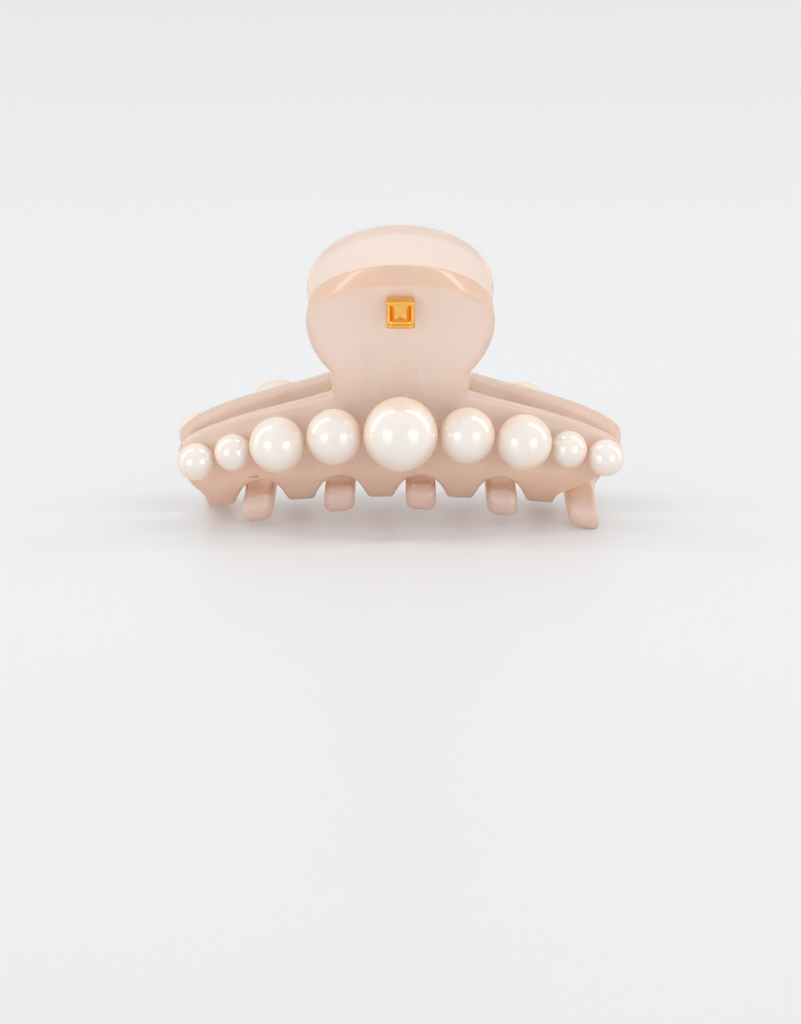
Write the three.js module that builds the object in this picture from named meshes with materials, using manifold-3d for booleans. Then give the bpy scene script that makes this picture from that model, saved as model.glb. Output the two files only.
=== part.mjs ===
// Double-jaw hair claw clip, millimetres, +Z up, X along the hinge.
// Two identical moulded sheets, one turned half a turn about Z, hang on one hinge pin.
import * as THREE from "three";
import { mergeVertices } from "three/addons/utils/BufferGeometryUtils.js";
import Module from "manifold-3d";

const wasm = await Module();
wasm.setup();

// Overall size of one jaw.
const JAW_LENGTH = 71.2;          // end to end along X
const SHEET = 4.4;                // sheet thickness
const EDGE = 0.9;                 // polished edge chamfer
const WAIST_Z = 22.0;             // height of the waist's middle surface
const WAIST_OUT = 9.1;            // waist's middle surface from the hinge plane
const END_SWEEP = 0.0035;         // ends curve in towards the hinge plane, per mm
const END_DROOP = 0.0024;         // ends curve down towards the ground, per mm
const TIP_DROOP = 0.0007;         // outer teeth dip further towards their tips, per mm
const TOOTH_SPLAY = 0.03;         // teeth fan out towards their tips

// The sheet's profile: lengths and bend angles of its arcs, from the waist.
const WAIST_LEAN = 5;             // degrees outward, going up
const HANDLE_LENGTH = 24.2;
const HANDLE_LEAN = 47;           // degrees outward at the handle's top
const NECK_LENGTH = 4.5;
const NECK_FLARE = 8;             // degrees outward, going down
const BELLY_LENGTH = 5.8;
const TURN_LENGTH = 8.0;          // belly round to the teeth
const TURN_MIDDLE = 45;           // degrees inward part of the way round
const TOOTH_SLOPE = 83.5;         // degrees from straight down, along the teeth
const TOOTH_LENGTH = 14.2;        // straight part of a tooth

// The handle's outline.
const HANDLE_HALF = 15.1;
const HANDLE_SIDE_RADIUS = 15.8;
const HANDLE_DOME = 9.2;
const NECK_HALF = 10.9;

// The wing's outline and its teeth.
const SHOULDER = 12.0;            // half width where the neck meets the wing's top
const WING_END_TOP = 5.9;         // down from the waist at the ends
const WING_END_BOTTOM = 8.6;
const NOTCH_REACH = 15.15;        // down from the waist to the middle of a tooth that crosses a notch
const ROOT = NOTCH_REACH - SHEET / 2;
const TOOTH_PITCH = 12.8;
const TOOTH_COUNT = 5;
const TOOTH_GAP = 1.6;            // between crossing teeth of the two jaws
const FIRST_TOOTH = -2.25 * TOOTH_PITCH;
const TOOTH_HALF = (TOOTH_PITCH / 2 - TOOTH_GAP) / 2;
const TIP_ROUND = 1.4;            // corner length at a tooth's tip

// Pearls, stock sizes, and the pegs that hold them.
const PEARL_DIAMETERS = [6, 6, 9, 9, 12, 9, 9, 6, 6];
const PEARL_GAP = 0.35;           // between neighbouring pearls
const PEARL_DROP = 5.85;          // down from the waist at the middle
const PEARL_DROP_ENDS = 0.0022;   // further down towards the ends, per mm
const PEARL_DROP_SLOPE = 0.008;   // further down towards the corner tooth
const PEG_RADIUS = 0.6;
const PEG_IN_SHEET = 2.4;

// Clearance between separate pieces.
const FIT = 0.3;

// Hinge: the pin, the knuckles on it and the leaves that carry them.
const PIN_BELOW_WAIST = 0.7;
const PIN_Z = WAIST_Z - PIN_BELOW_WAIST;
const PIN_RADIUS = 1.0;
const PIN_HEAD_RADIUS = PIN_RADIUS + 0.8;
const PIN_HEAD = 0.8;             // head's thickness
const KNUCKLE_OUTER = 8.8;        // middle of the outer knuckle from the centre
const KNUCKLE_WIDTH = 1.2;
const KNUCKLE_INNER = KNUCKLE_OUTER - KNUCKLE_WIDTH - 2 * FIT;
const KNUCKLE_WALL = 1.0;
const KNUCKLE_RADIUS = PIN_RADIUS + FIT + KNUCKLE_WALL;
const PIN_HALF = KNUCKLE_OUTER + KNUCKLE_WIDTH / 2 + 4 * FIT;
const LEAF_HALF = KNUCKLE_OUTER + KNUCKLE_WIDTH / 2 + 0.2;
const LEAF_BELOW = 2.6;           // leaf's edges from the pin's height
const LEAF_ABOVE = 2.2;
const LEAF_THICKNESS = 0.9;
const LEAF_CLEAR = 0.8;           // leaf to the sheet's inner face at the middle
const LEAF_OUT = WAIST_OUT - SHEET / 2 - LEAF_CLEAR;
const ARM_HEIGHT = 2.4;
const RIVET_X = 4.2;
const RIVET_Z = PIN_Z + 0.8;
const RIVET_RADIUS = 0.7;
const RIVET_IN_SHEET = 2.0;
const RIVET_DEPTH = LEAF_CLEAR + RIVET_IN_SHEET;
const RIVET_HEAD = 0.6;

// Spring.
const WIRE_RADIUS = 0.5;
const COIL_RADIUS = PIN_RADIUS + 2 * FIT + WIRE_RADIUS + 0.4;   // middle of the wire
const COIL_TURNS = 4.5;
const COIL_HALF = KNUCKLE_INNER - KNUCKLE_WIDTH / 2 - WIRE_RADIUS - 2 * FIT;
const LEG_RISE = 8.9;             // leg's end above the pin

// Emblem plate on the front handle.
const EMBLEM_WIDTH = 4.6;
const EMBLEM_HEIGHT = 6.1;
const EMBLEM_DEPTH = 1.5;
const EMBLEM_UP = 18.2;           // along the handle from the waist
const POCKET_WIDTH = 3.3;
const POCKET_HEIGHT = 4.8;
const POCKET_DEPTH = 0.8;
const TILE_TOP = 0.35;            // half width of the tile's flat top
const TILE_RISE = 0.9;
const STUD_SPACING = 3.2;
const STUD_RADIUS = 0.5;
const STUD_IN_FRAME = 0.35;

// Corner teeth worn flat where they rest.
const FOOT_FLAT = 0.3;

const acetate = new THREE.MeshStandardMaterial({ color: 0xe6cdbc, roughness: 0.25, metalness: 0 });
const nacre = new THREE.MeshStandardMaterial({ color: 0xf4ece4, roughness: 0.2, metalness: 0 });
const gold = new THREE.MeshStandardMaterial({ color: 0xe0a548, roughness: 0.22, metalness: 1 });
const brass = new THREE.MeshStandardMaterial({ color: 0xb98a4c, roughness: 0.35, metalness: 1 });
const steel = new THREE.MeshStandardMaterial({ color: 0xb9bcc0, roughness: 0.3, metalness: 1 });

const clip = new THREE.Group();
const radians = Math.PI / 180;

function addMesh(group, name, geometry, material) {
  const mesh = new THREE.Mesh(geometry, material);
  mesh.name = name;
  group.add(mesh);
  return mesh;
}

// A geometry as a closed solid, and back.
function toSolid(geometry) {
  const plain = geometry.index ? geometry.toNonIndexed() : geometry.clone();
  plain.deleteAttribute("normal");
  plain.deleteAttribute("uv");
  const merged = mergeVertices(plain, 1e-4);
  return new wasm.Manifold(new wasm.Mesh({
    numProp: 3,
    vertProperties: new Float32Array(merged.attributes.position.array),
    triVerts: new Uint32Array(merged.index.array),
  }));
}

function toGeometry(solid) {
  const mesh = solid.getMesh();
  const geometry = new THREE.BufferGeometry();
  geometry.setAttribute("position", new THREE.BufferAttribute(new Float32Array(mesh.vertProperties), 3));
  geometry.setIndex(new THREE.BufferAttribute(new Uint32Array(mesh.triVerts), 1));
  return geometry;
}

// ---------------------------------------------------------------- sheet profile
// Arcs going down from the waist: [length, bend angle at its end]. The angle is
// measured from straight down, outward positive.
const belowWaist = [
  [NECK_LENGTH, NECK_FLARE],
  [BELLY_LENGTH, -NECK_FLARE],
  [TURN_LENGTH * 0.6, -TURN_MIDDLE],
  [TURN_LENGTH * 0.4, -TOOTH_SLOPE],
  [TOOTH_LENGTH + 5, -TOOTH_SLOPE],
];

// Lengths below the waist to the start of the straight teeth and to their tips.
const TEETH = NECK_LENGTH + BELLY_LENGTH + TURN_LENGTH;
const TIP = TEETH + TOOTH_LENGTH;

// One arc from a point: walks `length` while the angle turns from a to b.
function walkArc(point, a, b, length) {
  const steps = 8;
  for (let i = 0; i < steps; i += 1) {
    const angle = (a + (b - a) * (i + 0.5) / steps) * radians;
    point.out += Math.sin(angle) * length / steps;
    point.z -= Math.cos(angle) * length / steps;
  }
}

// Middle surface at distance s down from the waist (up is negative).
function profile(s) {
  const point = { out: WAIST_OUT, z: WAIST_Z, angle: -WAIST_LEAN };
  if (s < 0) {
    const end = -(WAIST_LEAN + (HANDLE_LEAN - WAIST_LEAN) * -s / HANDLE_LENGTH);
    walkArc(point, -WAIST_LEAN, end, s);
    point.angle = end;
    return point;
  }
  let left = s;
  for (const [length, bend] of belowWaist) {
    const part = Math.min(left, length);
    const end = point.angle + (bend - point.angle) * part / length;
    walkArc(point, point.angle, end, part);
    point.angle = end;
    left -= part;
    if (left <= 0) {
      break;
    }
  }
  return point;
}

// Puts a developed point (x along the jaw, s down the sheet) at a height h above
// the middle surface, outward, into space. The front jaw's outside faces -Y.
function bend(x, s, h) {
  const at = profile(s);
  const angle = at.angle * radians;
  const slope = 2 * END_SWEEP * x;
  const turn = 1 / Math.hypot(1, slope);
  const out = at.out + Math.cos(angle) * h * turn - END_SWEEP * x * x;
  const tooth = Math.max(0, s - TEETH) / TOOTH_LENGTH;
  const z = at.z + Math.sin(angle) * h - (END_DROOP + TIP_DROOP * tooth) * x * x;
  return new THREE.Vector3(x * (1 + TOOTH_SPLAY * tooth) + Math.cos(angle) * h * slope * turn, -out, z);
}

// ---------------------------------------------------------------- jaw outline
// A list of points spread evenly along a curve function of t from 0 to 1.
function spread(count, curve) {
  return Array.from({ length: count + 1 }, (_, i) => curve(i / count));
}

function mirror(points) {
  return points.map(([x, s]) => [-x, s]);
}

function cubic(a, b, c, d, t) {
  const u = 1 - t;
  const weights = [u * u * u, 3 * u * u * t, 3 * u * t * t, t * t * t];
  return [0, 1].map((k) => weights[0] * a[k] + weights[1] * b[k] + weights[2] * c[k] + weights[3] * d[k]);
}

// The handle: a dome, round sides, a straight neck and a fillet to the shoulder.
const domeEnd = 30 * radians;
const domeBase = -(HANDLE_LENGTH - HANDLE_DOME);
const domeTop = spread(10, (t) => {
  const a = Math.PI - domeEnd - t * (Math.PI - 2 * domeEnd);
  return [HANDLE_HALF * Math.cos(a), domeBase - HANDLE_DOME * Math.sin(a)];
});
const sideEnd = Math.acos(1 - (HANDLE_HALF - NECK_HALF) / HANDLE_SIDE_RADIUS);
const fillet = SHOULDER - NECK_HALF;
const handleRight = [
  ...spread(2, (t) => {
    const a = domeEnd * (1 - t);
    return [HANDLE_HALF * Math.cos(a), domeBase - HANDLE_DOME * Math.sin(a)];
  }),
  ...spread(4, (t) => {
    const a = sideEnd * t;
    const x = HANDLE_HALF - HANDLE_SIDE_RADIUS * (1 - Math.cos(a));
    return [x, domeBase + HANDLE_SIDE_RADIUS * Math.sin(a)];
  }).slice(1),
  ...spread(3, (t) => {
    const a = t * Math.PI / 2;
    return [SHOULDER - fillet * Math.cos(a), -fillet + fillet * Math.sin(a)];
  }),
];
const waist = spread(10, (t) => [SHOULDER * (2 * t - 1), 0]);

// The wing's top falls from the shoulder to a round end.
const wingEnd = JAW_LENGTH / 2;
const wingTopRight = spread(6, (t) =>
  cubic([SHOULDER, 0], [19, 2.0], [31, WING_END_TOP - 3.4], [wingEnd - 0.5, WING_END_TOP], t));
const wingTop = [...mirror(wingTopRight).reverse(), ...waist.slice(1, -1), ...wingTopRight];

// Down the ends: the corner-tooth end on the left, the sweeping end on the right.
const cornerRoot = [FIRST_TOOTH - TOOTH_HALF - 1.75, ROOT];
const wingLeft = spread(7, (t) =>
  cubic([-wingEnd + 0.5, WING_END_TOP], [-wingEnd - 0.35, WING_END_TOP + 1.6],
    [-wingEnd + 0.2, WING_END_BOTTOM + 1.6], cornerRoot, t));
const sweepStart = [wingEnd - 0.4, WING_END_BOTTOM];
const wingRight = spread(7, (t) =>
  cubic([wingEnd - 0.5, WING_END_TOP], [wingEnd, WING_END_TOP + 0.7],
    [wingEnd + 0.1, WING_END_BOTTOM - 0.8], sweepStart, t));

// The row of tooth roots: notch middles between teeth, then the sweeping edge.
const lastTooth = FIRST_TOOTH + TOOTH_PITCH * (TOOTH_COUNT - 1);
const sweepEnd = [lastTooth + TOOTH_HALF + 1.1, ROOT + 1.7];
const rootCorners = [cornerRoot];
for (let k = 1; k < TOOTH_COUNT; k += 1) {
  rootCorners.push([FIRST_TOOTH + TOOTH_PITCH * (k - 0.5), ROOT]);
}
rootCorners.push(sweepEnd);
const rootRows = [];
for (let k = 0; k < TOOTH_COUNT; k += 1) {
  const [a, b] = [rootCorners[k], rootCorners[k + 1]];
  rootRows.push(spread(4, (t) => [a[0] + (b[0] - a[0]) * t, a[1] + (b[1] - a[1]) * t * t]));
}
const sweep = spread(2, (t) => {
  const sag = 0.5 * 4 * t * (1 - t);
  const x = sweepEnd[0] + (sweepStart[0] - sweepEnd[0]) * t;
  return [x, sweepEnd[1] + (sweepStart[1] - sweepEnd[1]) * t + sag];
});
const rootRow = [rootRows[0][0], ...rootRows.flatMap((row) => row.slice(1)), ...sweep.slice(1)];

// A tooth's side: from its root corner round to the straight side, then to the tip.
const straightStart = TEETH - TURN_LENGTH * 0.15;
function toothSide(corner, x, isNotch) {
  const across = x - corner[0];
  const down = straightStart - corner[1];
  const first = isNotch
    ? [corner[0] + across * 0.58, corner[1]]
    : [corner[0] + across * 0.5, corner[1] + down * 0.25];
  const second = [corner[0] + across * (isNotch ? 0.84 : 1), corner[1] + down * 0.32];
  const curve = spread(5, (t) => cubic(corner, first, second, [x, straightStart], t));
  const straight = spread(4, (t) => [x, straightStart + (TIP - TIP_ROUND - straightStart) * t]).slice(1);
  return [...curve, ...straight];
}

function toothTip(x) {
  return [
    [x - TOOTH_HALF, TIP - TIP_ROUND],
    [x - TOOTH_HALF * 0.72, TIP - TIP_ROUND * 0.25],
    [x, TIP],
    [x + TOOTH_HALF * 0.72, TIP - TIP_ROUND * 0.25],
    [x + TOOTH_HALF, TIP - TIP_ROUND],
  ];
}

// ---------------------------------------------------------------- sheet mesh
// Fills the outline with four-sided patches, each blended from its four edges.
function makePlan() {
  const points = [];
  const index = new Map();
  const triangles = [];
  // Points of neighbouring patches within a thousandth share one vertex.
  const cell = (value) => Math.floor(value * 1e3 + 0.37);
  const vertex = ([x, s]) => {
    const key = `${cell(x)},${cell(s)}`;
    if (!index.has(key)) {
      index.set(key, points.length);
      points.push([x, s]);
    }
    return index.get(key);
  };
  const patch = (top, bottom, left, right) => {
    const columns = top.length - 1;
    const rows = left.length - 1;
    const grid = left.map((_, j) => top.map((_, i) => {
      const u = i / columns;
      const v = j / rows;
      return vertex([0, 1].map((k) => (1 - v) * top[i][k] + v * bottom[i][k]
        + (1 - u) * left[j][k] + u * right[j][k]
        - (1 - u) * (1 - v) * top[0][k] - u * (1 - v) * top[columns][k]
        - (1 - u) * v * bottom[0][k] - u * v * bottom[columns][k]));
    }));
    for (let j = 0; j < rows; j += 1) {
      for (let i = 0; i < columns; i += 1) {
        const [a, b, c, d] = [grid[j][i], grid[j][i + 1], grid[j + 1][i + 1], grid[j + 1][i]];
        triangles.push([a, b, c], [a, c, d]);
      }
    }
  };
  patch(domeTop, waist, mirror(handleRight), handleRight);
  patch(wingTop, rootRow, wingLeft, wingRight);
  for (let k = 0; k < TOOTH_COUNT; k += 1) {
    const x = FIRST_TOOTH + TOOTH_PITCH * k;
    const left = toothSide(rootCorners[k], x - TOOTH_HALF, k > 0);
    const right = toothSide(rootCorners[k + 1], x + TOOTH_HALF, k < TOOTH_COUNT - 1);
    patch(rootRows[k], toothTip(x), left, right);
  }
  return { points, triangles };
}

// Bends the plan into a solid sheet with chamfered edges.
function makeJaw() {
  const { points, triangles } = makePlan();
  const next = new Map();
  const used = new Set();
  for (const [a, b, c] of triangles) {
    for (const [p, q] of [[a, b], [b, c], [c, a]]) {
      used.add(`${p},${q}`);
    }
  }
  for (const edge of used) {
    const [p, q] = edge.split(",").map(Number);
    if (!used.has(`${q},${p}`)) {
      next.set(p, q);
    }
  }
  const previous = new Map([...next].map(([p, q]) => [q, p]));
  const half = SHEET / 2;
  const vertices = [];
  const push = (x, s, h) => {
    vertices.push(bend(x, s, h));
    return vertices.length - 1;
  };
  // Each boundary point steps inward by the chamfer, square to the outline.
  const inset = ([x, s], p) => {
    if (!next.has(p)) {
      return [x, s];
    }
    const [before, after] = [points[previous.get(p)], points[next.get(p)]];
    const along = new THREE.Vector2(after[0] - before[0], after[1] - before[1]).normalize();
    return [x - along.y * EDGE, s + along.x * EDGE];
  };
  const outer = points.map((point, p) => push(...inset(point, p), half));
  const inner = points.map((point, p) => push(...inset(point, p), -half));
  const faces = [];
  for (const [a, b, c] of triangles) {
    faces.push([outer[a], outer[b], outer[c]], [inner[a], inner[c], inner[b]]);
  }
  const band = new Map();
  for (const p of next.keys()) {
    band.set(p, [outer[p], push(...points[p], half - EDGE), push(...points[p], EDGE - half), inner[p]]);
  }
  for (const [p, q] of next) {
    const [a, b] = [band.get(p), band.get(q)];
    for (let k = 0; k < 3; k += 1) {
      faces.push([a[k], a[k + 1], b[k + 1]], [a[k], b[k + 1], b[k]]);
    }
  }
  const geometry = new THREE.BufferGeometry().setFromPoints(vertices);
  geometry.setIndex(faces.map(([a, b, c]) => [a, c, b]).flat());
  return { geometry, lowest: Math.min(...vertices.map((v) => v.z)) };
}

// ---------------------------------------------------------------- placing helpers
// A closed cylinder along a direction, from one distance to another.
function rod(point, direction, radius, from, to, segments) {
  const geometry = new THREE.CylinderGeometry(radius, radius, to - from, segments);
  const turn = new THREE.Quaternion().setFromUnitVectors(new THREE.Vector3(0, 1, 0), direction);
  geometry.applyQuaternion(turn);
  const middle = direction.clone().multiplyScalar((from + to) / 2).add(point);
  geometry.translate(middle.x, middle.y, middle.z);
  return geometry;
}

// Outer surface point of the front sheet and its outward normal.
function surface(x, s) {
  const point = bend(x, s, SHEET / 2);
  const across = bend(x + 0.1, s, SHEET / 2).sub(bend(x - 0.1, s, SHEET / 2));
  const down = bend(x, s + 0.1, SHEET / 2).sub(bend(x, s - 0.1, SHEET / 2));
  const normal = across.cross(down).normalize();
  if (normal.y > 0) {
    normal.negate();
  }
  return { point, normal };
}

// ---------------------------------------------------------------- pearl rows
// Each pearl sits beside its neighbour along the curved sheet.
function pearlPlaces() {
  const middle = (PEARL_DIAMETERS.length - 1) / 2;
  const seat = (x, radius) => {
    const at = surface(x, PEARL_DROP + PEARL_DROP_ENDS * x * x - PEARL_DROP_SLOPE * x);
    at.radius = radius;
    at.centre = at.normal.clone().multiplyScalar(radius + FIT / 2).add(at.point);
    return at;
  };
  const places = [];
  places[middle] = seat(0, PEARL_DIAMETERS[middle] / 2);
  for (const side of [-1, 1]) {
    let x = 0;
    for (let k = middle + side; k >= 0 && k < PEARL_DIAMETERS.length; k += side) {
      const before = places[k - side];
      const radius = PEARL_DIAMETERS[k] / 2;
      const wanted = before.radius + radius + PEARL_GAP;
      let [near, far] = [x, x + side * wanted * 1.5];
      for (let i = 0; i < 30; i += 1) {
        const half = (near + far) / 2;
        if (seat(half, radius).centre.distanceTo(before.centre) < wanted) {
          near = half;
        } else {
          far = half;
        }
      }
      x = near;
      places[k] = seat(x, radius);
    }
  }
  return places;
}

// A pearl drilled from the back: its hole, its mouth and the ball, on one axis.
function pearlGeometry(place) {
  const radius = place.radius;
  const hole = PEG_RADIUS + FIT;
  const mouth = Math.asin(hole / radius);
  const profilePoints = [new THREE.Vector2(0, radius * 0.1), new THREE.Vector2(hole, radius * 0.1)];
  const rows = radius > 4 ? 8 : 7;
  for (let i = 0; i <= rows; i += 1) {
    const a = mouth + (Math.PI - mouth) * i / rows;
    profilePoints.push(new THREE.Vector2(i === rows ? 0 : radius * Math.sin(a), -radius * Math.cos(a)));
  }
  const geometry = new THREE.LatheGeometry(profilePoints, radius > 4 ? 14 : 12);
  const turn = new THREE.Quaternion().setFromUnitVectors(new THREE.Vector3(0, 1, 0), place.normal);
  geometry.applyQuaternion(turn);
  return geometry;
}

// ---------------------------------------------------------------- one jaw with its fittings
const jawSheet = makeJaw();
const ground = jawSheet.lowest + FOOT_FLAT;
const pearls = pearlPlaces();

// The sheet with its blind holes drilled and the corner tooth's foot cut flat.
function drilledJaw(hasEmblem) {
  let solid = toSolid(jawSheet.geometry);
  for (const { point, normal } of pearls) {
    solid = solid.subtract(toSolid(rod(point, normal, PEG_RADIUS + FIT, -PEG_IN_SHEET, 2, 8)));
  }
  for (const side of [-1, 1]) {
    const face = new THREE.Vector3(side * RIVET_X, -LEAF_OUT, RIVET_Z);
    const inward = new THREE.Vector3(0, -1, 0);
    solid = solid.subtract(toSolid(rod(face, inward, RIVET_RADIUS + FIT, -0.2, RIVET_DEPTH + FIT, 8)));
    if (hasEmblem) {
      const stud = surface(0, -EMBLEM_UP + side * STUD_SPACING / 2);
      solid = solid.subtract(toSolid(rod(stud.point, emblemAt.normal, STUD_RADIUS + FIT, -2.2, 2, 8)));
    }
  }
  const floor = new THREE.BoxGeometry(200, 200, 20).translate(0, 0, ground - 10);
  return toGeometry(solid.subtract(toSolid(floor)));
}

// A brass leaf with two knuckles that reach the pin.
function leafGeometry() {
  const plate = new THREE.BoxGeometry(2 * LEAF_HALF, LEAF_THICKNESS, LEAF_ABOVE + LEAF_BELOW);
  plate.translate(0, -LEAF_OUT + LEAF_THICKNESS / 2, PIN_Z + (LEAF_ABOVE - LEAF_BELOW) / 2);
  let solid = toSolid(plate);
  const axis = new THREE.Vector3(1, 0, 0);
  const pin = new THREE.Vector3(0, 0, PIN_Z);
  for (const x of [KNUCKLE_OUTER, -KNUCKLE_INNER]) {
    const reach = LEAF_OUT - LEAF_THICKNESS / 2;
    const arm = new THREE.BoxGeometry(KNUCKLE_WIDTH, reach, ARM_HEIGHT);
    arm.translate(x, -reach / 2, PIN_Z);
    const [from, to] = [x - KNUCKLE_WIDTH / 2, x + KNUCKLE_WIDTH / 2];
    solid = solid.add(toSolid(arm)).add(toSolid(rod(pin, axis, KNUCKLE_RADIUS, from, to, 18)));
    solid = solid.subtract(toSolid(rod(pin, axis, PIN_RADIUS + FIT, from - 1, to + 1, 12)));
  }
  for (const side of [-1, 1]) {
    const point = new THREE.Vector3(side * RIVET_X, -LEAF_OUT, RIVET_Z);
    const along = new THREE.Vector3(0, 1, 0);
    solid = solid.subtract(toSolid(rod(point, along, RIVET_RADIUS + FIT, -1, LEAF_THICKNESS + 1, 8)));
  }
  return toGeometry(solid);
}

// A headed rivet through the leaf into the sheet, head towards the pin.
function rivetGeometry(x) {
  const geometry = new THREE.LatheGeometry([
    new THREE.Vector2(0, -RIVET_DEPTH),
    new THREE.Vector2(RIVET_RADIUS, -RIVET_DEPTH),
    new THREE.Vector2(RIVET_RADIUS, LEAF_THICKNESS + FIT),
    new THREE.Vector2(RIVET_RADIUS * 1.9, LEAF_THICKNESS + FIT),
    new THREE.Vector2(RIVET_RADIUS * 1.3, LEAF_THICKNESS + FIT + RIVET_HEAD),
    new THREE.Vector2(0, LEAF_THICKNESS + FIT + RIVET_HEAD),
  ], 10);
  geometry.translate(x, -LEAF_OUT, RIVET_Z);
  return geometry;
}

function addJaw(prefix, turn) {
  const group = new THREE.Group();
  group.rotation.z = turn;
  clip.add(group);
  addMesh(group, prefix + "_jaw", drilledJaw(turn === 0), acetate);
  pearls.forEach((place, k) => {
    const ball = addMesh(group, prefix + "_pearl_" + (k + 1), pearlGeometry(place), nacre);
    ball.position.copy(place.centre);
    const peg = rod(place.point, place.normal, PEG_RADIUS, FIT - PEG_IN_SHEET, place.radius, 6);
    addMesh(group, prefix + "_peg_" + (k + 1), peg, brass);
  });
  addMesh(group, prefix + "_hinge_leaf", leafGeometry(), brass);
  addMesh(group, prefix + "_rivet_left", rivetGeometry(-RIVET_X), brass);
  addMesh(group, prefix + "_rivet_right", rivetGeometry(RIVET_X), brass);
  return group;
}

// ---------------------------------------------------------------- emblem plate
// Flat against the concave handle, clear of it by the fit.
const emblemAt = surface(0, -EMBLEM_UP);

function emblemFrame() {
  const solid = toSolid(new THREE.BoxGeometry(EMBLEM_WIDTH, EMBLEM_HEIGHT, EMBLEM_DEPTH));
  const pocket = new THREE.BoxGeometry(POCKET_WIDTH, POCKET_HEIGHT, 2 * POCKET_DEPTH);
  pocket.translate(0, 0, EMBLEM_DEPTH / 2);
  let cut = solid.subtract(toSolid(pocket));
  const axis = new THREE.Vector3(0, 0, 1);
  for (const side of [-1, 1]) {
    const back = new THREE.Vector3(0, side * STUD_SPACING / 2, -EMBLEM_DEPTH / 2);
    cut = cut.subtract(toSolid(rod(back, axis, STUD_RADIUS + FIT, -1, STUD_IN_FRAME + FIT, 8)));
  }
  return toGeometry(cut);
}

// A low four-sided point that fills the pocket.
function emblemTile() {
  const half = POCKET_WIDTH / 2 - FIT;
  const tile = new THREE.CylinderGeometry(TILE_TOP * Math.SQRT2, half * Math.SQRT2, TILE_RISE, 4, 1);
  tile.rotateY(Math.PI / 4);
  tile.rotateX(Math.PI / 2);
  tile.scale(1, (POCKET_HEIGHT / 2 - FIT) / half, 1);
  tile.translate(0, 0, EMBLEM_DEPTH / 2 - POCKET_DEPTH + (FIT + TILE_RISE) / 2);
  return tile;
}

const front = addJaw("front", 0);
addJaw("rear", Math.PI);

const emblem = new THREE.Group();
const upward = new THREE.Vector3(1, 0, 0).cross(emblemAt.normal).negate();
emblem.quaternion.setFromRotationMatrix(
  new THREE.Matrix4().makeBasis(new THREE.Vector3(1, 0, 0), upward, emblemAt.normal));
emblem.position.copy(emblemAt.normal).multiplyScalar(EMBLEM_DEPTH / 2 + FIT + 0.15).add(emblemAt.point);
front.add(emblem);
addMesh(emblem, "emblem_frame", emblemFrame(), gold);
addMesh(emblem, "emblem_tile", emblemTile(), gold);
for (const [side, name] of [[-1, "emblem_stud_lower"], [1, "emblem_stud_upper"]]) {
  const stud = rod(new THREE.Vector3(0, side * STUD_SPACING / 2, -EMBLEM_DEPTH / 2),
    new THREE.Vector3(0, 0, 1), STUD_RADIUS, -2.1, STUD_IN_FRAME, 8);
  addMesh(emblem, name, stud, brass);
}

// ---------------------------------------------------------------- pin and spring
// One pin through all four knuckles, headed at both ends.
const pinGeometry = new THREE.LatheGeometry([
  new THREE.Vector2(0, -PIN_HALF - PIN_HEAD),
  new THREE.Vector2(PIN_HEAD_RADIUS * 0.7, -PIN_HALF - PIN_HEAD),
  new THREE.Vector2(PIN_HEAD_RADIUS, -PIN_HALF - PIN_HEAD * 0.4),
  new THREE.Vector2(PIN_HEAD_RADIUS, -PIN_HALF),
  new THREE.Vector2(PIN_RADIUS, -PIN_HALF),
  new THREE.Vector2(PIN_RADIUS, PIN_HALF),
  new THREE.Vector2(PIN_HEAD_RADIUS, PIN_HALF),
  new THREE.Vector2(PIN_HEAD_RADIUS, PIN_HALF + PIN_HEAD * 0.4),
  new THREE.Vector2(PIN_HEAD_RADIUS * 0.7, PIN_HALF + PIN_HEAD),
  new THREE.Vector2(0, PIN_HALF + PIN_HEAD),
], 14);
const pin = addMesh(clip, "hinge_pin", pinGeometry, brass);
pin.rotation.z = Math.PI / 2;
pin.position.z = PIN_Z;

// The spring: a leg up one handle, the coil round the pin, a leg up the other.
class SpringPath extends THREE.Curve {
  getPoint(t, target = new THREE.Vector3()) {
    const leg = 0.14;
    if (t < leg || t > 1 - leg) {
      const side = t < leg ? -1 : 1;
      const up = (t < leg ? leg - t : t - 1 + leg) / leg;
      const out = COIL_RADIUS + legReach * Math.pow(up, 1.25);
      return target.set(side * COIL_HALF, side * out, PIN_Z + up * LEG_RISE);
    }
    const f = (t - leg) / (1 - 2 * leg);
    const turn = COIL_TURNS * 2 * Math.PI * f;
    const x = COIL_HALF * (2 * f - 1);
    return target.set(x, -COIL_RADIUS * Math.cos(turn), PIN_Z - COIL_RADIUS * Math.sin(turn));
  }
}

// The handle's inner face from the hinge plane, at a height, at the middle.
function handleInnerOut(z) {
  let [low, high] = [-HANDLE_LENGTH, 0];
  for (let i = 0; i < 30; i += 1) {
    const s = (low + high) / 2;
    if (bend(0, s, -SHEET / 2).z > z) {
      low = s;
    } else {
      high = s;
    }
  }
  return -bend(COIL_HALF, low, -SHEET / 2).y;
}

// Sideways from the coil to a leg's end, which stops clear of the handle.
const legReach = handleInnerOut(PIN_Z + LEG_RISE) - FIT - WIRE_RADIUS * 1.3 - COIL_RADIUS;
const wire = new THREE.Shape().absarc(0, 0, WIRE_RADIUS, 0, 2 * Math.PI);
const springGeometry = new THREE.ExtrudeGeometry(wire, {
  steps: Math.round(COIL_TURNS * 13) + 14,
  curveSegments: 6,
  bevelEnabled: false,
  extrudePath: new SpringPath(),
});
addMesh(clip, "torsion_spring", springGeometry, steel);

clip.position.z = -ground;

export default clip;
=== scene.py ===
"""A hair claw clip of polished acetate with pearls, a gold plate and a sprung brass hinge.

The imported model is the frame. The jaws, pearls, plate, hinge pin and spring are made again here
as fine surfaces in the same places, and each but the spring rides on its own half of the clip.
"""
import math

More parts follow.
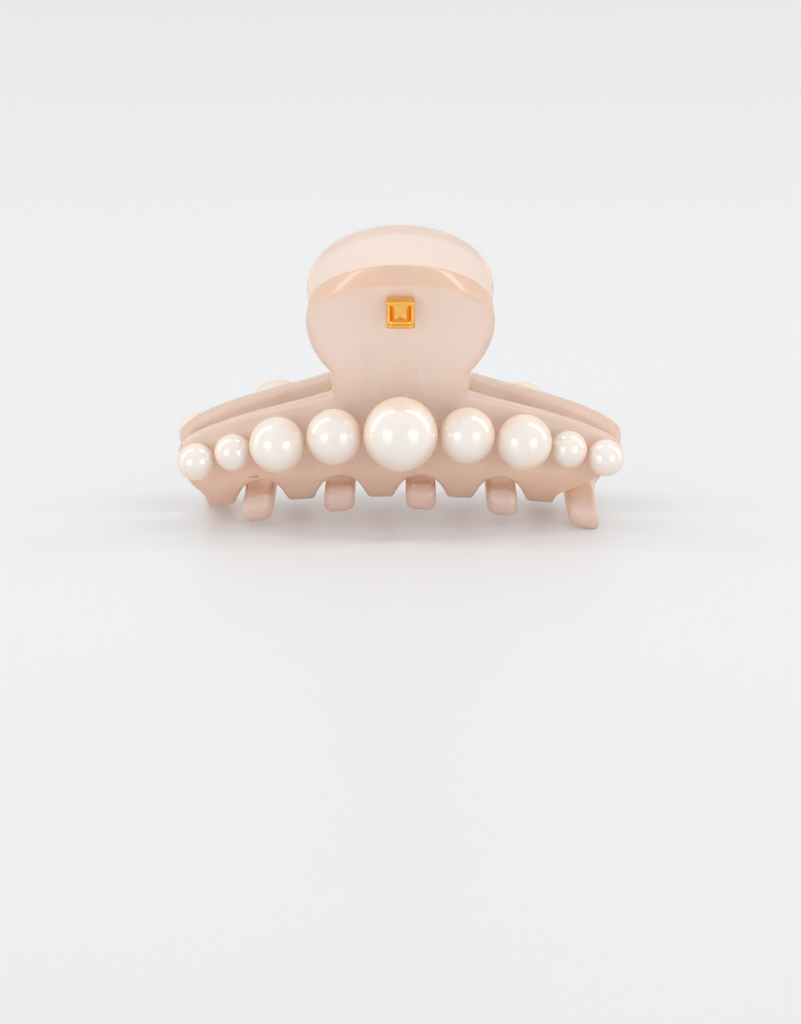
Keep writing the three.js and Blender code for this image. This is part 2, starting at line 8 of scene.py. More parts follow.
import bmesh
import bpy
import numpy as np
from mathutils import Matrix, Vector


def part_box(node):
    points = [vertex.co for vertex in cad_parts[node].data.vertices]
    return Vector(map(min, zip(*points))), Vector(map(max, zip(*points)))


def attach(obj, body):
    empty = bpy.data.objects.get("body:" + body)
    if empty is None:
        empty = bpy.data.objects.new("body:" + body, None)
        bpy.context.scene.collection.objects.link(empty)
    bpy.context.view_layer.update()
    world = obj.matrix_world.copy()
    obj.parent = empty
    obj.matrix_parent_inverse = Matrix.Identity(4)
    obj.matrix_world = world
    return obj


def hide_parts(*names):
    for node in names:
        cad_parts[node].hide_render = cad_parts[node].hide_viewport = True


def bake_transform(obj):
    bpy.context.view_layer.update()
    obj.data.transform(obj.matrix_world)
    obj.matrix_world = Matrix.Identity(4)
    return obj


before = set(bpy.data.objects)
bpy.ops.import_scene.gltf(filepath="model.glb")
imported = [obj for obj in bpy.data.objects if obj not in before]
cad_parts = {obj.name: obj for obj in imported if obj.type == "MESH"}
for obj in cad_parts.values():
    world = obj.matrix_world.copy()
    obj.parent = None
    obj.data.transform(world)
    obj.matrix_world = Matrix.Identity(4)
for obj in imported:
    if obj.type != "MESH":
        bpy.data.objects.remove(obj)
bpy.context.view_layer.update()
scene = bpy.context.scene


# ---------------------------------------------------------------- the studio
# A pale table, faintly lit from below, runs back past the view. A long straight strip lamp leans up each
# side with a gap between the two overhead, a low softbox stands at each front corner, and a long
# lens looks from a little above the clip.

class Knob:
    """A node output that adds Math nodes when it is used in an expression."""

    def __init__(self, shader, socket):
        self.shader = shader
        self.socket = socket

    def combine(self, operation, first, second):
        return self.shader.add("ShaderNodeMath", {"operation": operation}, {0: first, 1: second})

    def __add__(self, other):
        return self.combine("ADD", self, other)

    def __radd__(self, other):
        return self.combine("ADD", other, self)

    def __mul__(self, other):
        return self.combine("MULTIPLY", self, other)

    def __rmul__(self, other):
        return self.combine("MULTIPLY", other, self)


class Finish:
    """A material with one Principled shader, whose nodes all come from add()."""

    def __init__(self, name, **constants):
        self.material = bpy.data.materials.new(name)
        self.material.use_nodes = True
        self.nodes = self.material.node_tree.nodes
        self.links = self.material.node_tree.links
        self.nodes.clear()
        self.output = self.nodes.new("ShaderNodeOutputMaterial")
        self.surface = self.nodes.new("ShaderNodeBsdfPrincipled")
        self.links.new(self.surface.outputs["BSDF"], self.output.inputs["Surface"])
        for socket, value in constants.items():
            self.surface.inputs[socket.replace("_", " ")].default_value = value

    def add(self, kind, settings=None, sockets=None, output=0):
        """A node of a type, its settings first, then values or links into its sockets."""
        node = self.nodes.new(kind)
        for name, value in (settings or {}).items():
            setattr(node, name, value)
        for name, value in (sockets or {}).items():
            if isinstance(value, Knob):
                self.links.new(value.socket, node.inputs[name])
            else:
                node.inputs[name].default_value = value
        return Knob(self, node.outputs[output])

    def place(self):
        """Where a point is on its own piece."""
        return self.add("ShaderNodeTexCoord", output="Object")

    def noise(self, scale, detail=3.0, roughness=0.5):
        """Fractal noise through the solid; scale is in cycles per metre."""
        return self.add("ShaderNodeTexNoise", {}, {"Vector": self.place(), "Scale": scale,
                                                   "Detail": detail, "Roughness": roughness})

    def blend(self, factor, first, second):
        """A colour between two, each a colour or a node's output, by a factor."""
        first, second = (end if isinstance(end, Knob) else (*end, 1.0) for end in (first, second))
        return self.add("ShaderNodeMix", {"data_type": "RGBA"}, {0: factor, 6: first, 7: second}, output=2)

    def feed(self, **sockets):
        """Links a node's output into each named socket of the shader."""
        for name, value in sockets.items():
            self.links.new(value.socket, self.surface.inputs[name.replace("_", " ")])

    def bump(self, height, strength, distance):
        """Tilts the shader's normal by the slope of a height."""
        self.feed(Normal=self.add("ShaderNodeBump", {}, {"Height": height, "Strength": strength,
                                                         "Distance": distance}))


table_half = 2.5
table_corners = [(-table_half, -table_half, 0), (table_half, -table_half, 0),
                 (table_half, table_half, 0), (-table_half, table_half, 0)]
table_finish = Finish("white_table", Roughness=0.40, Specular_IOR_Level=0.3,
                      Emission_Color=(0.97, 0.98, 1.0, 1.0), Emission_Strength=0.14)
table_tone = table_finish.noise(6.0, 2.0)
table_finish.feed(Base_Color=table_finish.blend(table_tone, (0.600, 0.604, 0.614), (0.614, 0.618, 0.627)))
table_finish.bump(table_finish.noise(900.0, 2.0), 0.04, 0.0001)
table_mesh = bpy.data.meshes.new("table")
table_mesh.from_pydata(table_corners, [], [(0, 1, 2, 3)])
table_mesh.materials.append(table_finish.material)
table = bpy.data.objects.new("table", table_mesh)
scene.collection.objects.link(table)

world = bpy.data.worlds.new("studio_air")
world.use_nodes = True
world.node_tree.nodes["Background"].inputs["Color"].default_value = (0.985, 0.995, 1.0, 1.0)
world.node_tree.nodes["Background"].inputs["Strength"].default_value = 0.88
scene.world = world


def add_panel(name, place, aim, size, power, colour=(1.0, 0.985, 0.965)):
    """A soft rectangular lamp at a place, facing a point."""
    lamp = bpy.data.lights.new(name, "AREA")
    lamp.shape = "RECTANGLE"
    lamp.size, lamp.size_y = size
    lamp.energy = power
    lamp.color = colour
    holder = bpy.data.objects.new(name, lamp)
    holder.location = place
    holder.rotation_euler = (Vector(aim) - Vector(place)).to_track_quat("-Z", "Y").to_euler()
    scene.collection.objects.link(holder)


clip_middle = (0.0, 0.0, 0.02)
for side, name in ((-1, "left"), (1, "right")):
    add_panel(f"side_strip_{name}", (side * 0.61, 0.10, 0.53), clip_middle, (0.09, 1.10), 1.7)
    add_panel(f"front_box_{name}", (side * 0.84, -1.00, 0.22), clip_middle, (0.50, 0.34), 2.6)

# The camera looks from the front, 11 degrees above the table, from two metres away.
elevation = math.radians(11.1)
distance = 2.0
picture_width = 0.12982
aim = Vector((0.0, 0.0, 0.018))
back = Vector((0.0, -math.cos(elevation), math.sin(elevation)))
lens = bpy.data.cameras.new("camera")
lens.sensor_fit = "HORIZONTAL"
lens.sensor_width = 36.0
lens.lens = 36.0 * distance / picture_width
lens.shift_y = -0.1325
lens.clip_end = 20.0
camera = bpy.data.objects.new("camera", lens)
camera.location = aim + back * distance
camera.rotation_euler = (-back).to_track_quat("-Z", "Y").to_euler()
scene.collection.objects.link(camera)
scene.camera = camera
scene.view_settings.view_transform = "Standard"
# Light crosses the milky sheets many times before it leaves them.
scene.cycles.max_bounces = 24
scene.cycles.diffuse_bounces = 14
scene.cycles.glossy_bounces = 8
scene.cycles.transmission_bounces = 20


# ---------------------------------------------------------------- the two jaws
# Each jaw is one piece of acetate sheet, sawn to its outline, bent hot over a former into handle,
# belly and curled teeth, then tumbled and buffed until every edge is round. Both are the same
# part; the rear one is turned half a turn.

def signed_volume(mesh):
    """Sum over the triangles of a . (b x c) / 6, positive when the faces point outwards."""
    mesh.calc_loop_triangles()
    corners = np.empty(len(mesh.loop_triangles) * 3, dtype=np.int32)
    mesh.loop_triangles.foreach_get("vertices", corners)
    places = np.empty(len(mesh.vertices) * 3)
    mesh.vertices.foreach_get("co", places)
    a, b, c = places.reshape(-1, 3)[corners.reshape(-1, 3)].transpose(1, 0, 2)
    return float(np.einsum("ij,ij->i", a, np.cross(b, c)).sum() / 6)


def make_piece(name, mesh, material):
    """Puts a mesh into the scene, smooth, outward, with its material."""
    mesh.validate()
    mesh.update()
    if signed_volume(mesh) < 0:
        mesh.flip_normals()
    mesh.polygons.foreach_set("use_smooth", np.ones(len(mesh.polygons), dtype=bool))
    mesh.materials.append(material)
    piece = bpy.data.objects.new(name, mesh)
    scene.collection.objects.link(piece)
    return piece


mm = 0.001
sheet_thickness = 4.4
edge_round, side_edge_round, tip_edge_round = 0.75, 1.1, 2.1
waist_out, waist_height = 9.1, 22.0
end_sweep, end_droop, tip_droop, tooth_splay = 0.0035, 0.0024, 0.0007, 0.03
arc_lengths = (4.5, 5.8, 4.8, 3.2, 20.0)
arc_leans = (8.0, -8.0, -45.0, -83.5, -83.5)
waist_lean, handle_lean, handle_length = 5.0, 47.0, 24.2
teeth_start = sum(arc_lengths[:4])
tooth_length = 14.2
tip = teeth_start + tooth_length
handle_half, handle_side_radius, handle_dome, neck_half, shoulder = 15.1, 15.8, 9.2, 10.9, 12.0
wing_end, wing_end_top, wing_end_bottom = 35.6, 5.9, 8.6
root, tooth_pitch, tooth_count, tooth_half, tip_round, tip_square = 12.95, 12.8, 5, 2.4, 1.8, 0.8
first_tooth = -2.25 * tooth_pitch
last_tooth = first_tooth + tooth_pitch * (tooth_count - 1)
corner_flare, sweep_flare, sweep_drop, sweep_bulge = 1.75, 1.1, 1.7, 2.0
hinge_height = (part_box("hinge_pin")[0][2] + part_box("hinge_pin")[1][2]) / 2
lift = hinge_height - (waist_height - 0.7) * mm

walk = np.linspace(-handle_length, tip + 1, 8001)
walk_lean = np.radians(np.interp(
    walk, np.concatenate([[-handle_length, 0], np.cumsum(arc_lengths)]),
    (-handle_lean, -waist_lean) + arc_leans))


def running_sum(values):
    """Area under values along the walk, from the waist."""
    steps = np.diff(walk) * (values[1:] + values[:-1]) / 2
    total = np.concatenate([[0], np.cumsum(steps)])
    return total - np.interp(0, walk, total)


walk_out = waist_out + running_sum(np.sin(walk_lean))
walk_up = waist_height - running_sum(np.cos(walk_lean))


def bend(x, s, h):
    """Flat sheet to space: s walks down the profile, whose lean gives the normal, h steps off the
    middle surface along it, and the ends sweep in and droop with the square of x."""
    lean = np.interp(s, walk, walk_lean)
    slope = 2 * end_sweep * x
    turn = 1 / np.hypot(1, slope)
    tooth = np.clip((s - teeth_start) / tooth_length, 0, None)
    along = x * (1 + tooth_splay * tooth) + np.cos(lean) * h * slope * turn
    out = np.interp(s, walk, walk_out) + np.cos(lean) * h * turn - end_sweep * x * x
    up = np.interp(s, walk, walk_up) + np.sin(lean) * h - (end_droop + tip_droop * tooth) * x * x
    return np.stack([along * mm, -out * mm, np.maximum(up * mm + lift, 0.0)], axis=-1)


def cubic(a, b, c, d, count):
    """A cubic Bezier curve through a and d, drawn towards b and c."""
    t = np.linspace(0, 1, count + 1)[:, None]
    a, b, c, d = (np.array(point, dtype=float) for point in (a, b, c, d))
    return (1 - t) ** 3 * a + 3 * (1 - t) ** 2 * t * b + 3 * (1 - t) * t ** 2 * c + t ** 3 * d


def arc(centre, radii, start, end, count):
    """An elliptical arc between two angles."""
    a = np.linspace(start, end, count + 1)
    return np.stack([centre[0] + radii[0] * np.cos(a), centre[1] + radii[1] * np.sin(a)], axis=-1)


def join(*parts):
    """Curves end to end, each shared point once."""
    return np.concatenate([parts[0]] + [part[1:] for part in parts[1:]])


def line(a, b, count):
    """Even steps from a to b."""
    return np.linspace(a, b, count + 1)


# The outline, clockwise from the left shoulder, as named stretches. handle_left runs up from the
# shoulder to the dome, and the teeth come from the right to the left.
across_handle, across_wing, down_wing, across_tooth, across_sweep = 60, 46, 26, 28, 12
dome_end, dome_base = math.radians(30), -(handle_length - handle_dome)
side_end = math.acos(1 - (handle_half - neck_half) / handle_side_radius)
fillet = shoulder - neck_half
side_foot = dome_base + handle_side_radius * math.sin(side_end)
dome = arc((0, dome_base), (handle_half, handle_dome), math.pi + dome_end, 2 * math.pi - dome_end,
           across_handle)
handle_right = join(
    arc((0, dome_base), (handle_half, handle_dome), -dome_end, 0, 12),
    arc((handle_half - handle_side_radius, dome_base), (handle_side_radius,) * 2, 0, side_end, 30),
    line((neck_half, side_foot), (neck_half, -fillet), 10),
    arc((shoulder, -fillet), (fillet, fillet), math.pi, math.pi / 2, 12))
handle_left = (handle_right * (-1, 1))[::-1]
wing_top_right = cubic((shoulder, 0), (19, 2.0), (31, wing_end_top - 3.4),
                       (wing_end - 0.5, wing_end_top), across_wing)
wing_top_left = (wing_top_right * (-1, 1))[::-1]
sweep_start = (wing_end - 0.4, wing_end_bottom)
wing_right = cubic(wing_top_right[-1], (wing_end, wing_end_top + 0.7),
                   (wing_end + 0.1, wing_end_bottom - 0.8), sweep_start, down_wing)
corner_root = (first_tooth - tooth_half - corner_flare, root)
wing_left = cubic(corner_root, (-wing_end + 0.2, wing_end_bottom + 1.6),
                  (-wing_end - 0.35, wing_end_top + 1.6), wing_top_left[0], down_wing)
sweep_end = (last_tooth + tooth_half + sweep_flare, root + sweep_drop)
sweep = line(sweep_start, sweep_end, across_sweep)
sweep_share = np.linspace(0, 1, across_sweep + 1)
sweep[:, 1] += sweep_bulge * sweep_share * (1 - sweep_share)
notches = [(first_tooth + tooth_pitch * (k + 0.5), root) for k in range(tooth_count - 1)]
root_corners = [corner_root] + notches + [sweep_end]
straight_start = teeth_start - 1.2


def tooth_side(corner, x, is_notch):
    """From a tooth's root corner round into its straight side and down to the tip's rounding."""
    across, down = x - corner[0], straight_start - corner[1]
    first = (corner[0] + 0.5 * across, corner[1] + 0.25 * down)
    second = (corner[0] + across, corner[1] + 0.32 * down)
    if is_notch:
        first = (corner[0] + 0.58 * across, corner[1])
        second = (corner[0] + 0.84 * across, corner[1] + 0.32 * down)
    return join(cubic(corner, first, second, (x, straight_start), 22),
                line((x, straight_start), (x, tip - tip_round), 30))


def tooth_tip(x):
    """Half a rounded square: an ellipse whose sine and cosine are pushed out to the corners."""
    a = np.linspace(0, math.pi, across_tooth + 1)
    wide = np.sign(np.cos(a)) * np.abs(np.cos(a)) ** tip_square
    return np.stack([x + tooth_half * wide, tip - tip_round + tip_round * np.sin(a) ** tip_square], axis=-1)


tooth_stretches = []
for k in reversed(range(tooth_count)):
    x = first_tooth + tooth_pitch * k
    side_right = tooth_side(root_corners[k + 1], x + tooth_half, k < tooth_count - 1)
    side_left = tooth_side(root_corners[k], x - tooth_half, k > 0)[::-1]
    tooth_stretches += [(f"side_right_{k}", side_right), (f"tip_{k}", tooth_tip(x)),
                        (f"side_left_{k}", side_left)]
stretches = [("handle_left", handle_left), ("dome", dome), ("handle_right", handle_right),
             ("wing_top_right", wing_top_right), ("wing_right", wing_right), ("sweep", sweep),
             *tooth_stretches, ("wing_left", wing_left), ("wing_top_left", wing_top_left)]
outline = np.concatenate([points[:-1] for name, points in stretches])
after, before = np.roll(outline, -1, axis=0), np.roll(outline, 1, axis=0)
forward = (after - outline) / np.linalg.norm(after - outline, axis=1, keepdims=True)
backward = (outline - before) / np.linalg.norm(outline - before, axis=1, keepdims=True)
tangent = forward + backward
tangent /= np.linalg.norm(tangent, axis=1, keepdims=True)
inward = np.stack([-tangent[:, 1], tangent[:, 0]], axis=-1)

# How far each edge is rounded: most at a tip, less along a tooth, least round the rest, with the
# steps between them smoothed along the outline. The faces end where the rounding starts.
rounding = {f"tip_{k}": tip_edge_round for k in range(tooth_count)}
rounding.update({f"side_right_{k}": side_edge_round for k in range(tooth_count - 1)})
rounding.update({f"side_left_{k}": side_edge_round for k in range(1, tooth_count)})
stepped = np.concatenate([np.full(len(points) - 1, rounding.get(name, edge_round))
                          for name, points in stretches])
spread = np.hanning(41) / np.hanning(41).sum()
roundness = np.convolve(np.concatenate([stepped[-20:], stepped, stepped[:20]]), spread, mode="valid")
face_edge = outline + inward * roundness[:, None]
ring = np.concatenate([face_edge, face_edge[:1]])
cut = {}
start = 0
for name, points in stretches:
    cut[name] = ring[start:start + len(points)]
    start += len(points) - 1


def patch(top, bottom, left, right):
    """A four-sided sheet between its edges: opposite edges blended, less the corners' blend."""
    u = np.linspace(0, 1, len(top))[None, :, None]
    v = np.linspace(0, 1, len(left))[:, None, None]
    corners = ((1 - u) * (1 - v) * top[0] + u * (1 - v) * top[-1]
               + (1 - u) * v * bottom[0] + u * v * bottom[-1])
    return (1 - v) * top + v * bottom + (1 - u) * left[:, None] + u * right[:, None] - corners


waist = line(cut["handle_left"][0], cut["handle_right"][-1], across_handle)
root_rows = []
for k in range(tooth_count):
    low_left, low_right = cut[f"side_left_{k}"][-1], cut[f"side_right_{k}"][0]
    row = line(low_left, low_right, across_tooth)
    row[:, 1] = low_left[1] + (low_right[1] - low_left[1]) * np.linspace(0, 1, across_tooth + 1) ** 2
    root_rows.append(row)
wing_top = join(cut["wing_top_left"], waist, cut["wing_top_right"])
root_row = join(*root_rows, cut["sweep"][::-1])
patches = [
    patch(cut["dome"], waist, cut["handle_left"][::-1], cut["handle_right"]),
    patch(wing_top, root_row, cut["wing_left"][::-1], cut["wing_right"]),
]
for k in range(tooth_count):
    patches.append(patch(root_rows[k], cut[f"tip_{k}"][::-1], cut[f"side_left_{k}"][::-1],
                         cut[f"side_right_{k}"]))


def painted_shade(s, edge=0.0):
    """How much painted shade darkens and warms the sheet's colour, from 0 to 1, in place of shade and of
    light that runs far
    through the sheet: little on the handle, more over the belly by a smooth step, less again along the
    teeth, and most at an edge."""
    step = np.clip((s - 1.0) / (teeth_start - 4.0), 0, 1)
    tooth = np.clip((s - teeth_start) / tooth_length, 0, 1)
    face = 0.75 * step * step * (3 - 2 * step)
    return (face + (1 - face) * edge) * (1 - 0.75 * tooth)


def rounded_edge():
    """The outline's band: a quarter circle over each corner, carried round the outline, and its painted
    shade, which grows over the corners, painted in place of light that runs the long way down the sheet."""
    a = np.linspace(0, math.pi / 2, 7)[:, None]
    inset = roundness * (1 - np.sin(a))
    height = sheet_thickness / 2 - roundness * (1 - np.cos(a))
    inset = np.concatenate([inset, inset[::-1]])
    height = np.concatenate([height, -height[::-1]])
    flat = outline[None] + inward[None] * inset[..., None]
    rise = np.concatenate([np.sin(a), np.sin(a)[::-1]]) ** 2
    return bend(flat[..., 0], flat[..., 1], height), painted_shade(flat[..., 1], rise)


def jaw_mesh(name, turn):
    """Both faces of every patch and the rounded edge, welded into one closed sheet, with its painted shade
    at each point kept as an attribute; turn is -1 for the jaw that is turned half a turn."""
    grids = [(bend(p[..., 0], p[..., 1], side * sheet_thickness / 2), painted_shade(p[..., 1]), False)
             for p in patches for side in (1, -1)]
    grids.append((*rounded_edge(), True))
    points, faces, painted_shade_levels, count = [], [], [], 0
    for grid, painted_shade_level, closed in grids:
        rows, columns = grid.shape[:2]
        index = np.arange(rows * columns).reshape(rows, columns) + count
        if closed:
            index = np.hstack([index, index[:, :1]])
        quads = np.stack([index[:-1, :-1], index[:-1, 1:], index[1:, 1:], index[1:, :-1]], axis=-1)
        faces.append(quads.reshape(-1, 4))
        points.append(grid.reshape(-1, 3))
        painted_shade_levels.append(painted_shade_level.ravel())
        count += rows * columns
    points = np.concatenate(points) * (turn, turn, 1)
    mesh = bpy.data.meshes.new(name)
    mesh.from_pydata(points.tolist(), [], np.concatenate(faces).tolist())
    mesh.attributes.new("painted_shade", "FLOAT", "POINT").data.foreach_set("value", np.concatenate(painted_shade_levels))
    weld = bmesh.new()
    weld.from_mesh(mesh)
    bmesh.ops.remove_doubles(weld, verts=weld.verts, dist=2e-6)
    bmesh.ops.recalc_face_normals(weld, faces=weld.faces)
    weld.to_mesh(mesh)
    weld.free()
    return mesh


def acetate():
    """Milky nude acetate: part of the light passes through the sheet and grows warmer the further
    it goes, the rest is turned back by pigment that drifts in clouds; the colour is also painted a darker
    peach over the belly and at the edges as painted shade; the buffed skin is clear."""
    finish = Finish("nude_acetate", Transmission_Weight=0.52, IOR=1.45, Coat_Weight=0.5, Coat_Roughness=0.02)
    clouds = finish.noise(55.0, 4.0, 0.55)
    milk = finish.blend(clouds, (0.985, 0.915, 0.850), (0.998, 0.945, 0.895))
    # Painted shade: this attribute turns the colour towards the darker peach below, over the belly and at
    # the edges, in place of shade and of light that runs through the sheet.
    painted_shade_level = finish.add("ShaderNodeAttribute", {"attribute_name": "painted_shade"}, output="Fac")
    rub = finish.noise(700.0, 3.0, 0.6)
    finish.feed(Base_Color=finish.blend(painted_shade_level + 0.10 * clouds, milk, (0.985, 0.775, 0.60)),
                Roughness=0.36 + 0.10 * rub)
    finish.bump(finish.noise(160.0, 2.0), 0.04, 0.0003)
    depth = finish.add("ShaderNodeVolumeAbsorption", {}, {"Color": (1.0, 0.64, 0.38, 1.0), "Density": 75.0})
    finish.links.new(depth.socket, finish.output.inputs["Volume"])
    return finish.material


acetate_finish = acetate()
for half, turn in (("front", 1), ("rear", -1)):
    jaw = make_piece(f"{half}_jaw_sheet", jaw_mesh(f"{half}_jaw_sheet", turn), acetate_finish)
    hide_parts(f"{half}_jaw")
    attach(jaw, half)


# ---------------------------------------------------------------- the pearls
# Nine moulded beads on each half, 6, 9 and 12 mm across, dipped in pearl lacquer and half drilled
# from behind, so each has a small mouth with a flat lip where its peg goes in.

def mesh_from_grid(name, points):
    """A closed surface from rows of points: each row is a ring that closes on itself, and a fan
    about its middle fills the first row and the last."""
    rows, columns = points.shape[:2]
    index = np.arange(rows * columns).reshape(rows, columns)
    index = np.hstack([index, index[:, :1]])
    quads = np.stack([index[:-1, :-1], index[:-1, 1:], index[1:, 1:], index[1:, :-1]], axis=-1)
    faces = quads.reshape(-1, 4).tolist()
    middle = rows * columns
    for ring, centre in ((index[0, ::-1], middle), (index[-1], middle + 1)):
        faces += [(a, b, centre) for a, b in zip(ring[:-1].tolist(), ring[1:].tolist())]
    flat = np.concatenate([points.reshape(-1, 3), points[:1].mean(axis=1), points[-1:].mean(axis=1)])
    mesh = bpy.data.meshes.new(name)
    mesh.from_pydata(flat.tolist(), [], faces)
    return mesh


def lathe(profile, turns):
    """Radius and height pairs turned round the Z axis."""
    turn = np.linspace(0, 2 * math.pi, turns, endpoint=False)
    return np.stack([profile[:, :1] * np.cos(turn), profile[:, :1] * np.sin(turn),
                     profile[:, 1:] + 0 * turn], axis=-1)


def pearl_points(radius, mouth):
    """A ball from the mouth's lip round to the front pole, radius times the sine and cosine of the
    angle, joined to the straight wall and the floor of the drilled hole."""
    start = math.asin(mouth / radius) + 0.06
    around = np.linspace(start, math.pi - 0.002, 56)
    ball = np.stack([radius * np.sin(around), -radius * np.cos(around)], axis=-1)
    lip_depth = ball[0, 1] - ball[0, 0] * 0.06
    hole = [[mouth * 0.999, 0.1 * radius], [mouth, lip_depth + 0.2 * mm], [mouth, lip_depth]]
    return lathe(np.concatenate([hole, ball]), 80)


def nacre():
    """Milky lacquer full of mica: part mirror, part milk, under a clear hard coat, with a faint
    drift of cream and rose through it and a peach sheen where it turns away."""
    finish = Finish("pearl_lacquer", Metallic=0.30, Specular_Tint=(1.0, 0.78, 0.60, 1.0),
                    Coat_Weight=0.6, Coat_Roughness=0.07, Sheen_Weight=1.0,
                    Sheen_Tint=(1.0, 0.70, 0.46, 1.0), Sheen_Roughness=0.50)
    drift = finish.noise(210.0, 2.0, 0.4)
    finish.feed(Base_Color=finish.blend(drift, (0.84, 0.77, 0.715), (0.90, 0.845, 0.795)),
                Roughness=0.15 + 0.08 * finish.noise(520.0, 2.0))
    finish.bump(finish.noise(2600.0, 2.0), 0.03, 0.00005)
    return finish.material


nacre_finish = nacre()
pearl_diameters = (6, 6, 9, 9, 12, 9, 9, 6, 6)
peg_hole_radius = 0.9
for half in ("front", "rear"):
    for number, diameter in enumerate(pearl_diameters, 1):
        low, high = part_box(f"{half}_pearl_{number}")
        peg_low, peg_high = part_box(f"{half}_peg_{number}")
        centre = (low + high) / 2
        outward = (centre - (peg_low + peg_high) / 2).normalized()
        spin = np.array(outward.to_track_quat("Z", "Y").to_matrix())
        name = f"{half}_bead_{number}"
        points = pearl_points(diameter / 2 * mm, peg_hole_radius * mm) @ spin.T + np.array(centre)
        mesh = mesh_from_grid(name, points)
        bead = make_piece(name, mesh, nacre_finish)
        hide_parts(f"{half}_pearl_{number}")
        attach(bead, half)


# ---------------------------------------------------------------- the hinge
# A stamped brass leaf is riveted inside each half, its two knuckles turn on one brass pin with
# domed heads, and thin brass pegs hold the pearls. All of it is bright-plated in the same bath.

def plated(name, colour, worn, roughness):
    """Bright plating: one metal colour, fine polishing lines, and a duller bloom where it is
    handled less."""
    finish = Finish(name, Metallic=1.0)
    bloom = finish.noise(420.0, 4.0, 0.6)
    lines = finish.noise(5200.0, 2.0)
    finish.feed(Base_Color=finish.blend(bloom, colour, worn), Roughness=roughness + 0.16 * bloom * lines)
    finish.bump(lines, 0.08, 0.00004)
    return finish.material


brass_finish = plated("hinge_brass", (0.93, 0.66, 0.30), (0.80, 0.54, 0.24), 0.20)
carried = [f"{half}_{part}" for half in ("front", "rear")
           for part in ("hinge_leaf", "rivet_left", "rivet_right", *(f"peg_{n}" for n in range(1, 10)))]
for name in carried + ["emblem_stud_lower", "emblem_stud_upper"]:
    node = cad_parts[name]
    for material_slot in node.material_slots:
        material_slot.material = brass_finish


pin_radius, head_radius, head_height, shank_fillet = 1.0 * mm, 1.74 * mm, 0.8 * mm, 0.12 * mm
dome_share, rim_share = 0.72, 0.94
pin_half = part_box("hinge_pin")[1][0]
dome_turn = np.linspace(0, math.pi / 2, 12)
head = np.stack([head_radius * np.sin(dome_turn) + 0.02 * mm,
                 pin_half - head_height * (1 - np.cos(dome_turn) * 0.999) * dome_share], axis=-1)
under = np.array([[head_radius, pin_half - head_height * rim_share],
                  [head_radius * 0.97, pin_half - head_height],
                  [pin_radius + shank_fillet, pin_half - head_height],
                  [pin_radius, pin_half - head_height - shank_fillet]])
upper = np.concatenate([head, under])
pin_profile = np.concatenate([upper, upper[::-1] * (1, -1)])
pin_points = lathe(pin_profile, 64)[..., [2, 0, 1]] + (0, 0, hinge_height)
pin = make_piece("headed_pin", mesh_from_grid("headed_pin", pin_points), brass_finish)
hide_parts("hinge_pin")
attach(pin, "front")


# ---------------------------------------------------------------- the spring
# Four and a half turns of hard steel wire round the pin. One leg presses on each handle, so the
# coil winds tighter when the handles are squeezed.

wire_radius, coil_radius, coil_half, coil_turns, leg_rise, leg_share = 0.5, 2.5, 5.3, 4.5, 8.9, 0.14
leg_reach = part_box("torsion_spring")[1][1] / mm - wire_radius * 1.04 - coil_radius
leg_bow, smoothings = 1.25, 30
t = np.linspace(0, 1, 760)
coil_turn = 2 * math.pi * coil_turns * np.clip((t - leg_share) / (1 - 2 * leg_share), 0, 1)
leg = np.clip(np.maximum(leg_share - t, t - 1 + leg_share) / leg_share, 0, 1)
side = np.where(t < 0.5, -1, 1)
# Along X the coil winds evenly; a leg leaves it at the front or the back and rises as it goes out.
path = np.stack([
    coil_half * (coil_turn / (math.pi * coil_turns) - 1),
    np.where(leg > 0, side * (coil_radius + leg_reach * leg ** leg_bow), -coil_radius * np.cos(coil_turn)),
    np.where(leg > 0, leg * leg_rise, -coil_radius * np.sin(coil_turn))], axis=-1)
for _ in range(smoothings):
    path[1:-1] = (path[:-2] + 2 * path[1:-1] + path[2:]) / 4
heading = np.gradient(path, axis=0)
heading /= np.linalg.norm(heading, axis=1, keepdims=True)
aside = np.cross(heading, (1.0, 0.02, 0.05))
aside /= np.linalg.norm(aside, axis=1, keepdims=True)
across = np.cross(heading, aside)
girth = np.linspace(0, 2 * math.pi, 16, endpoint=False)[None, :, None]
tube = path[:, None] + wire_radius * (np.cos(girth) * aside[:, None] + np.sin(girth) * across[:, None])
tube = tube * mm + (0, 0, hinge_height)
spring_finish = plated("spring_steel", (0.72, 0.72, 0.73), (0.60, 0.60, 0.62), 0.22)
spring = make_piece("wound_spring", mesh_from_grid("wound_spring", tube), spring_finish)
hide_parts("torsion_spring")
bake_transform(spring)


# ---------------------------------------------------------------- the emblem plate
# A small gold-plated casting pinned to the handle: a rounded frame round a sunk panel, with a
# plain four-sided point in the middle.

gold_finish = plated("gold_plate", (1.0, 0.60, 0.17), (0.98, 0.52, 0.12), 0.12)
emblem_up_handle = 18.2
emblem_lean = np.interp(-emblem_up_handle, walk, walk_lean)
plate_normal = np.array([0.0, -math.cos(emblem_lean), math.sin(emblem_lean)])
plate_up = np.array([0.0, math.sin(emblem_lean), math.cos(emblem_lean)])
plate_axes = np.stack([[1.0, 0.0, 0.0], plate_up, plate_normal])
frame_low, frame_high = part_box("emblem_frame")
plate_middle = np.array((frame_low + frame_high) / 2)


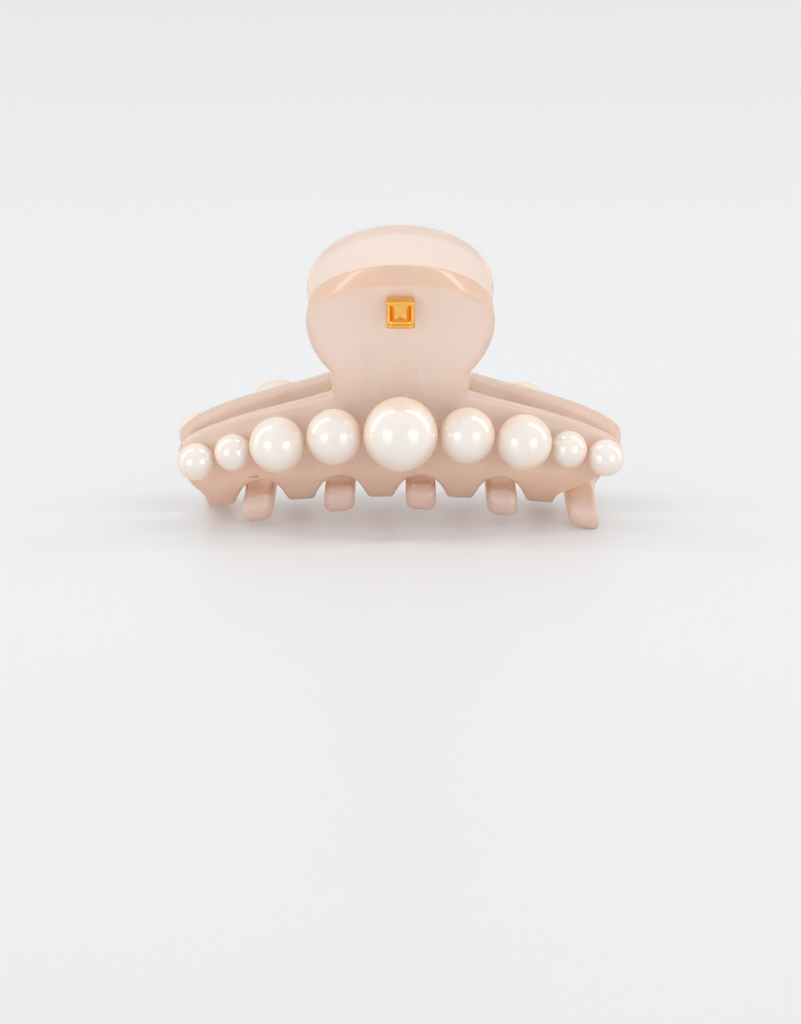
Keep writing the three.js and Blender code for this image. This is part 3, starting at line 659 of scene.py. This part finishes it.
def rounded_rectangle(wide, high, corner, height):
    """A ring of points at a height, round a rectangle with a quarter circle at each corner; wide
    and high are its half sizes."""
    turn = np.linspace(0, math.pi / 2, 12) + np.arange(4)[:, None] * math.pi / 2
    x = np.array([[1], [-1], [-1], [1]]) * (wide - corner) + corner * np.cos(turn)
    y = np.array([[1], [1], [-1], [-1]]) * (high - corner) + corner * np.sin(turn)
    return np.stack([x.ravel(), y.ravel(), np.full(x.size, height)], axis=-1)


wide, high, deep = 2.3, 3.05, 1.5
pocket_wide, pocket_high, pocket_deep = 1.65, 2.4, 0.8
back_round, front_round, lip_round = 0.2, 0.25, 0.15
floor = deep / 2 - pocket_deep
rings = [rounded_rectangle(wide - back_round, high - back_round, 0.3, -deep / 2)]
for angle in np.linspace(0, math.pi / 2, 6):
    inset = back_round * (1 - math.sin(angle))
    rings.append(rounded_rectangle(wide - inset, high - inset, 0.45,
                                   -deep / 2 + back_round * (1 - math.cos(angle))))
for angle in np.linspace(0, math.pi / 2, 6):
    inset = front_round * (1 - math.cos(angle))
    rings.append(rounded_rectangle(wide - inset, high - inset, 0.45 - 0.1 * math.sin(angle),
                                   deep / 2 - front_round * (1 - math.sin(angle))))
for angle in np.linspace(0, math.pi / 2, 6):
    inset = lip_round * (1 - math.sin(angle))
    rings.append(rounded_rectangle(pocket_wide + inset, pocket_high + inset, 0.25,
                                   deep / 2 - lip_round * (1 - math.cos(angle))))
rings += [rounded_rectangle(pocket_wide - 0.1, pocket_high - 0.1, 0.2, floor + 0.05),
          rounded_rectangle(pocket_wide - 0.3, pocket_high - 0.3, 0.2, floor)]
plate_points = np.stack(rings) * mm @ plate_axes + plate_middle
plate = make_piece("emblem_casting", mesh_from_grid("emblem_casting", plate_points), gold_finish)
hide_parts("emblem_frame")
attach(plate, "front")

# The point: a square-cut block that rises in four flat sides to a small blunt top.
point_wide, point_high, point_corner, point_lift = 1.35, 2.1, 0.25, 0.06
point_steps = ((1.0, 0.0), (1.0, 0.12), (0.94, 0.22), (0.62, 0.45), (0.30, 0.68), (0.10, 0.80), (0.03, 0.82))
point_rings = [rounded_rectangle(point_wide * size, point_high * size, point_corner * size,
                                 floor + point_lift + rise) for size, rise in point_steps]
point_points = np.stack(point_rings) * mm @ plate_axes + plate_middle
point = make_piece("emblem_point", mesh_from_grid("emblem_point", point_points), gold_finish)
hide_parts("emblem_tile")
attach(point, "front")
